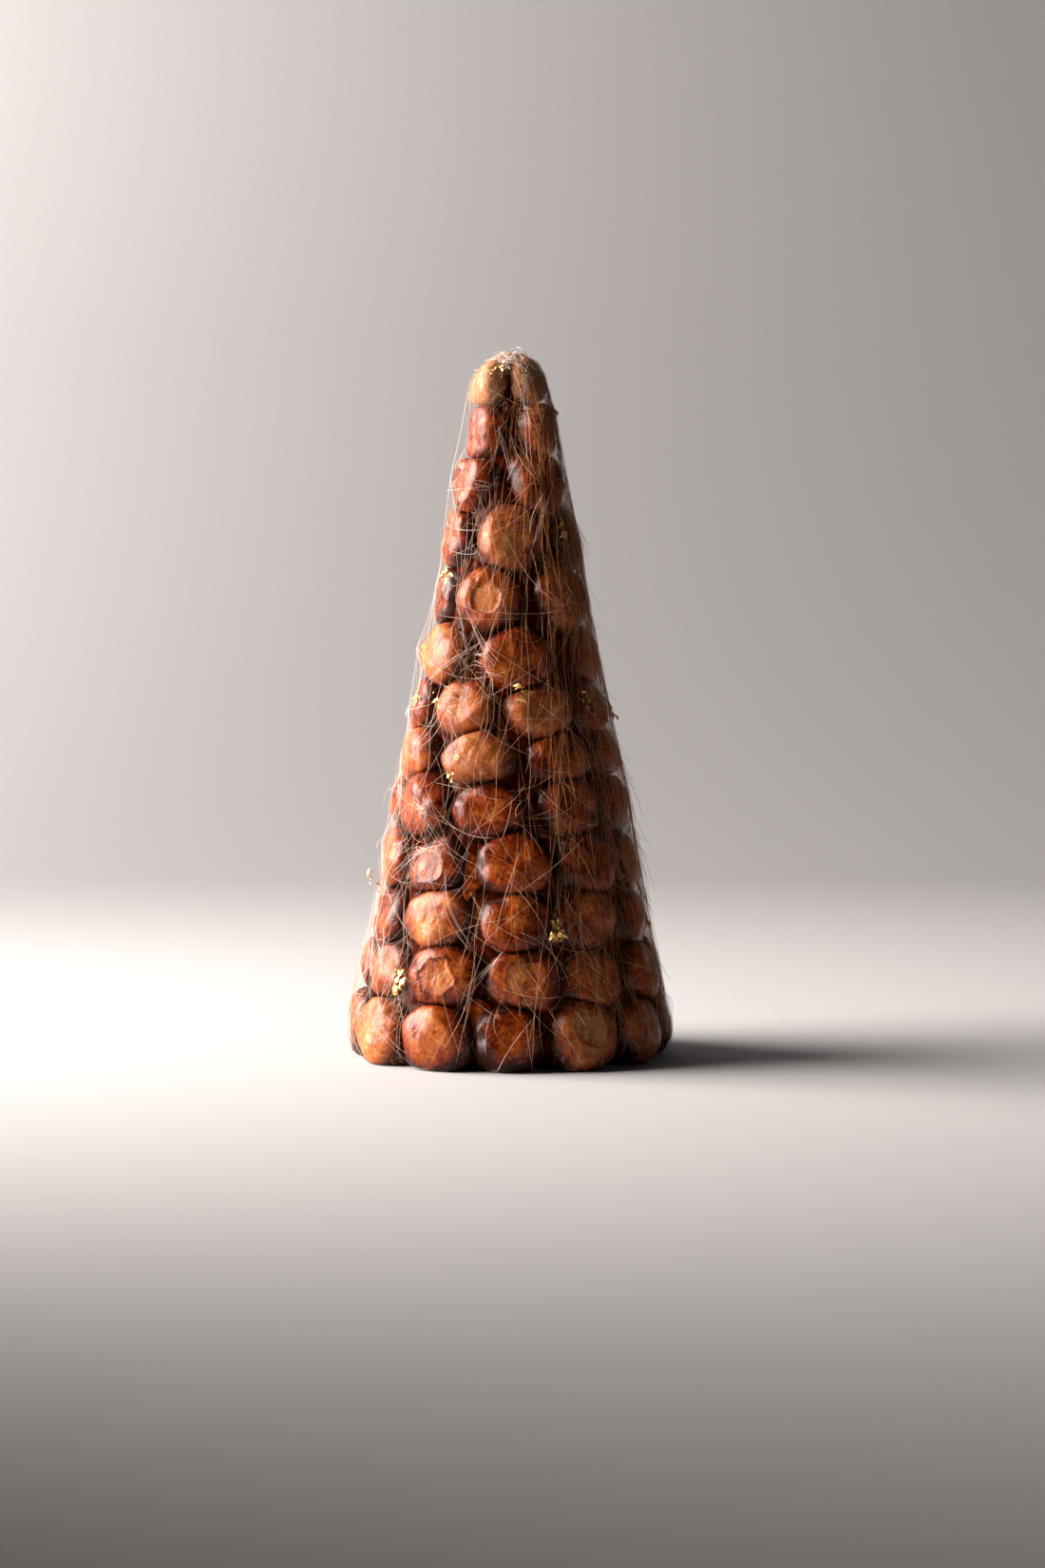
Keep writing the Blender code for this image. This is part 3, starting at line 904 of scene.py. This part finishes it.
STRAYS = 150
STRAY_POINTS = 12
STRAY_SIDE = (math.radians(88), math.radians(16))  # middle and spread of the thickest part
STRAY_FOOT = 0.02
STRAY_RISE = 0.47
STRAY_LENGTHS = (0.015, 0.055)
STRAY_LIFTS = (0.002, 0.012)  # how far their ends stand off
random = np.random.default_rng(707)
t = np.linspace(0, 1, STRAY_POINTS)[None]
turn = turns_about(random, (STRAYS, 1), 0.5, *STRAY_SIDE)
height = STRAY_RISE * random.beta(1.2, 2.0, (STRAYS, 1)) + STRAY_FOOT
way = random.normal(0, 0.25, (STRAYS, 1)) + random.normal(0, 0.5, (STRAYS, 1)) * t
turn, height = wandering(turn, height, random.uniform(*STRAY_LENGTHS, (STRAYS, 1)), way)
lift = random.uniform(*STRAY_LIFTS, (STRAYS, 1)) * t ** 1.5
thread_piece(
    "stray_threads", taut(turn, height, lift, tightening=12),
    random.uniform(0.00008, 0.00015, STRAYS), random.beta(2, 2, STRAYS),
)

# ---- The threads round the tip --------------------------
# The spinning starts at the tip, so its three puffs are wound with short threads of the same sugar
# at every angle, with more of them towards the right.

TIP_THREADS = 340
TIP_POINTS = 12
TIP_SIDE = (math.radians(65), math.radians(40))  # middle and spread of the thickest part
TIP_SIDE_SHARE = 0.45
TIP_HEIGHTS = (0.446, 0.488)
TIP_LENGTHS = (0.006, 0.026)
TIP_CURL = 1.2
random = np.random.default_rng(808)
t = np.linspace(0, 1, TIP_POINTS)[None]
turn = turns_about(random, (TIP_THREADS, 1), TIP_SIDE_SHARE, *TIP_SIDE)
height = random.uniform(*TIP_HEIGHTS, (TIP_THREADS, 1))
way = random.uniform(0, 2 * np.pi, (TIP_THREADS, 1))
way = way + random.normal(0, TIP_CURL, (TIP_THREADS, 1)) * t
turn, height = wandering(turn, height, random.uniform(*TIP_LENGTHS, (TIP_THREADS, 1)), way)
thread_piece(
    "tip_threads", taut(turn, height, random.uniform(0.0002, 0.0012, (TIP_THREADS, 1)), tightening=6),
    random.uniform(0.00006, 0.00014, TIP_THREADS), random.uniform(0.3, 0.9, TIP_THREADS), right_side_shade=0.1,
)

# ---- The heap on the top --------------------------------
# The threads start and end on the tip, in a flat tangled heap of short curls with ends that stick
# out, on top of the last three puffs.

HEAP_STRAWS = 380
HEAP_POINTS = 12
HEAP_RADIUS = 0.0175
HEAP_FALL = 0.0080  # how much lower the heap is at its edge than in the middle
POINT_RIGHT = 0.22  # the share of straws that point to the right
STRAW_CURL = 1.0
STRAW_LENGTHS = (0.006, 0.020)
STRAW_BACK = 0.3  # how far its start lies behind its place, as a share of its length
HEAP_UNDER = 0.0030  # straws start this far under the solid's top, or up to as much again
HEAP_OVER = 0.002  # how far straws may stand over it
heap_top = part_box("spun_sugar_tuft")[1][2]
random = np.random.default_rng(404)
t = np.linspace(0, 1, HEAP_POINTS)[None]
out = HEAP_RADIUS * random.random((HEAP_STRAWS, 1)) ** 0.7
at = random.uniform(0, 2 * np.pi, (HEAP_STRAWS, 1))
way = turns_about(random, (HEAP_STRAWS, 1), POINT_RIGHT, np.pi / 2, 0.5)
way = way + random.normal(0, STRAW_CURL, (HEAP_STRAWS, 1)) * t
length = random.uniform(*STRAW_LENGTHS, (HEAP_STRAWS, 1))
ahead = np.cumsum(np.sin(way), 1) / HEAP_POINTS - STRAW_BACK * np.sin(way[:, :1])
aside = np.cumsum(np.cos(way), 1) / HEAP_POINTS - STRAW_BACK * np.cos(way[:, :1])
x = out * np.sin(at) + length * ahead
y = out * np.cos(at) + length * aside
dome = heap_top - HEAP_UNDER - HEAP_FALL * np.minimum(np.hypot(x, y) / HEAP_RADIUS, 1.3) ** 2
z = dome + random.uniform(-HEAP_UNDER, 0.001, (HEAP_STRAWS, 1))
z = z + random.normal(0.0005, 0.0024, (HEAP_STRAWS, 1)) * t ** 1.5
heap = thread_piece(
    "heap_of_threads", np.stack((x, y, np.minimum(z, heap_top + HEAP_OVER)), -1),
    random.uniform(0.00014, 0.00032, HEAP_STRAWS), random.uniform(0.5, 1.3, HEAP_STRAWS), right_side_shade=0.0,
)
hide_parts("spun_sugar_tuft")

# ---- The gold leaf --------------------------------------
# Scraps of edible gold leaf, crumpled and caught on the threads, front and back.

LEAF_PLACES = (  # turn from the front in degrees, height, width, lift off the wall
    (6, 0.252, 0.0052, 0.003), (14, 0.256, 0.0024, 0.002), (48, 0.250, 0.0042, 0.002),
    (88, 0.237, 0.0066, 0.001), (52, 0.360, 0.0040, 0.001), (-56, 0.333, 0.0050, 0.001),
    (-69, 0.249, 0.0038, 0.002), (-48, 0.249, 0.0024, 0.001), (-31, 0.200, 0.0034, 0.002),
    (-29, 0.212, 0.0020, 0.001), (-45, 0.061, 0.0075, 0.001), (19, 0.096, 0.0062, 0.004),
    (-84, 0.126, 0.0040, 0.005), (-71, 0.118, 0.0042, 0.002), (84, 0.445, 0.0026, 0.002),
    (-14, 0.478, 0.0026, 0.001), (-30, 0.474, 0.0022, 0.001), (130, 0.300, 0.0050, 0.002),
    (165, 0.160, 0.0062, 0.002), (-160, 0.240, 0.0048, 0.002), (-130, 0.090, 0.0056, 0.002),
    (150, 0.410, 0.0036, 0.002), (-120, 0.360, 0.0040, 0.002), (110, 0.090, 0.0050, 0.003),
)
SCRAPS = 9  # in each place
SCRAP_WIDTHS = (0.20, 0.55)  # as a share of the whole's
SCRAPS_ACROSS = 0.4  # how far they lie apart, as a share of it too
SCRAPS_HIGH = 0.7
LEAF_OUT = 0.0025  # how far all of them lie outside the wall
LEAF_SIDES = 12
LEAF_RINGS = 8
LEAF_CRUMPLE = 0.0016
LEAF_CREASES = 0.0022  # how far apart its creases are
random = np.random.default_rng(505)
leaf_turn, leaf_height, leaf_width, leaf_lift = np.repeat(np.array(LEAF_PLACES), SCRAPS, axis=0).T
some = len(leaf_turn)
leaf_radius = FOOT_RADIUS - TAPER * leaf_height
across = random.normal(0, SCRAPS_ACROSS, some) * leaf_width
leaf_turn = np.radians(leaf_turn) + across / leaf_radius
leaf_height = leaf_height + random.normal(0, SCRAPS_HIGH, some) * leaf_width
leaf_width = leaf_width * random.uniform(*SCRAP_WIDTHS, some)
leaves = flakes(
    leaf_turn, leaf_height, -LEAF_OUT - leaf_lift, leaf_width, np.arange(some) + 200.0, jag=0.5,
    wave=0.0032, half_thick=0.00004, sides=LEAF_SIDES, rings=LEAF_RINGS,
)
crumple = np.stack([value_noise(leaves, LEAF_CREASES, seed) for seed in (1, 2, 3)], -1)
leaves += LEAF_CRUMPLE * crumple
# Gold leaf: beaten gold, far thinner than paper, so it crumples into bright and dark facets.
gold, gold_shader = new_material("gold_leaf")
wire(gold, gold_shader, {"Base Color": shade("#E0B870"), "Metallic": 1.0, "Roughness": 0.36})
quads, triangles = ball_faces(LEAF_SIDES, LEAF_RINGS, some)
piece("gold_leaf", leaves, quads, triangles, gold, smooth=False)

# ---- The table, the light and the camera ----------------
# A plain pale floor that sweeps up behind, a large soft window light from the upper left, a light
# aimed at the sweep from the same side, and a weak fill from the right.

SWEEP_NEAR = -1.6
SWEEP_BACK = 1.4
SWEEP_BEND = 0.6
SWEEP_TOP = 3.0
SWEEP_SIDE = 3.5
bend = np.linspace(0, np.pi / 2, 16)
bend_y = SWEEP_BACK + SWEEP_BEND * np.sin(bend)
bend_z = SWEEP_BEND * (1 - np.cos(bend))
run_y = np.concatenate(([SWEEP_NEAR], bend_y, [SWEEP_BACK + SWEEP_BEND]))
run_z = np.concatenate(([0.0], bend_z, [SWEEP_TOP]))
left_side = np.stack((np.full_like(run_y, -SWEEP_SIDE), run_y, run_z), -1)
right_side = left_side * (-1, 1, 1)
floor_mesh = bpy.data.meshes.new("floor")
side_points = len(run_y)
strip = np.arange(side_points - 1)
floor_mesh.from_pydata(
    np.concatenate((left_side, right_side)).tolist(), [],
    np.stack((strip, strip + side_points, strip + side_points + 1, strip + 1), -1).tolist(),
)
floor_mesh.polygons.foreach_set("use_smooth", np.ones(side_points - 1, bool))
floor = bpy.data.objects.new("floor", floor_mesh)
bpy.context.scene.collection.objects.link(floor)
# Matt painted board: pale warm grey.
board, board_shader = new_material("pale_painted_board")
wire(board, board_shader, {"Base Color": shade("#BFBDBD"), "Roughness": 0.9})
floor_mesh.materials.append(board)


def soft_light(name, place, aim, size, watts, colour, spread=180):
    """A rectangular area light at a place, turned so that its face looks at the aim. Its light
    keeps within the spread, in degrees, and fades towards the edge of that."""
    lamp = bpy.data.lights.new(name, "AREA")
    lamp.spread = math.radians(spread)
    lamp.shape = "RECTANGLE"
    lamp.size, lamp.size_y = size
    lamp.energy = watts
    lamp.color = shade(colour)[:3]
    thing = bpy.data.objects.new(name, lamp)
    thing.location = place
    towards = mathutils.Vector(aim) - mathutils.Vector(place)
    thing.rotation_euler = towards.to_track_quat("-Z", "Y").to_euler()
    bpy.context.scene.collection.objects.link(thing)


HALF_WAY_UP = (0.0, 0.0, 0.24)
SWEEP_MIDDLE = (-0.1, 2.0, 0.8)
soft_light(
    "window", (-1.54, -0.03, 0.80), HALF_WAY_UP, size=(1.4, 1.6), watts=38.0, colour="#FFF8F2", spread=84,
)
soft_light(
    "backdrop", (-1.60, 0.90, 1.20), SWEEP_MIDDLE, size=(1.2, 1.2), watts=56.0, colour="#FFF8F4",
)
soft_light("fill", (1.6, -1.6, 0.9), HALF_WAY_UP, size=(1.4, 1.4), watts=0.7, colour="#F2F4FF")
world = bpy.data.worlds.new("studio")
world.use_nodes = True
background = world.node_tree.nodes["Background"]
background.inputs["Color"].default_value = shade("#DCDCE0")
background.inputs["Strength"].default_value = 0.015
bpy.context.scene.world = world

CAMERA_PITCH = 3.6  # degrees that it looks down
camera = bpy.data.cameras.new("camera")
camera.lens = 91.6
camera.sensor_width = 36.0
camera_object = bpy.data.objects.new("camera", camera)
camera_object.location = (0.0086, -2.77, 0.3628)
camera_object.rotation_euler = (math.radians(90 - CAMERA_PITCH), 0, 0)
bpy.context.scene.collection.objects.link(camera_object)
bpy.context.scene.camera = camera_object
bpy.context.scene.view_settings.view_transform = "Standard"
